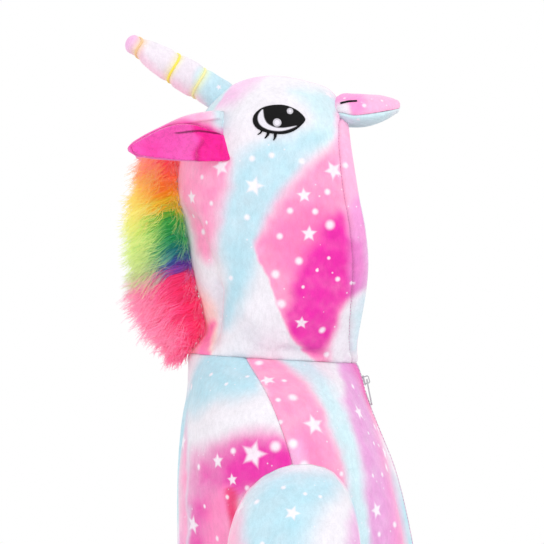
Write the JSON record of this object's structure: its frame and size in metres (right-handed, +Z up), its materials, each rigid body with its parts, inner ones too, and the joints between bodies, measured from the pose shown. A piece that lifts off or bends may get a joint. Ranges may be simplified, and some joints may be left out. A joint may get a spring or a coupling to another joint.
{
  "type": "unicorn onesie",
  "caption": "Child's hooded unicorn onesie in tie-dye fleece with stars, held in its worn form, with stuffed horn, ears and muzzle, rainbow mane and a front zip.",
  "frame": {"origin": "middle of the line between the wearer's shoulders, inside the garment", "axes": "+Z up along the standing wearer, -Y towards the wearer's front, -X towards the wearer's right"},
  "size_m": [0.511, 0.304, 1.1723],
  "materials": {
    "printed_fleece": "matte",
    "ear_plush": "matte",
    "eye_stitching": "satin",
    "mane_fur": "satin",
    "zip_tape": "matte",
    "zip_metal": "polished"
  },
  "bodies": {
    "garment": {"back_left": "printed_fleece", "back_right": "printed_fleece", "ear_left_back": "printed_fleece", "ear_left_front": "ear_plush", "ear_right_back": "printed_fleece", "ear_right_front": "ear_plush", "eye_left": "eye_stitching", "eye_right": "eye_stitching", "front_left": "printed_fleece", "front_right": "printed_fleece", "hood_left": "printed_fleece", "hood_right": "printed_fleece", "horn": "printed_fleece", "mane": "mane_fur", "muzzle_top": "printed_fleece", "muzzle_under": "printed_fleece", "sleeve_left": "printed_fleece", "sleeve_right": "printed_fleece", "zip_slider": "zip_metal", "zip_tape": "zip_tape"},
    "zip_pull": {"zip_pull": "zip_metal"}
  },
  "joints": [
    {"name": "zip_pull_hinge", "type": "hinge", "parent": "garment", "child": "zip_pull", "pos_m": [0, -0.07182, -0.00965], "axis": [-1, 0, 0], "range_deg": [0, 150]}
  ]
}
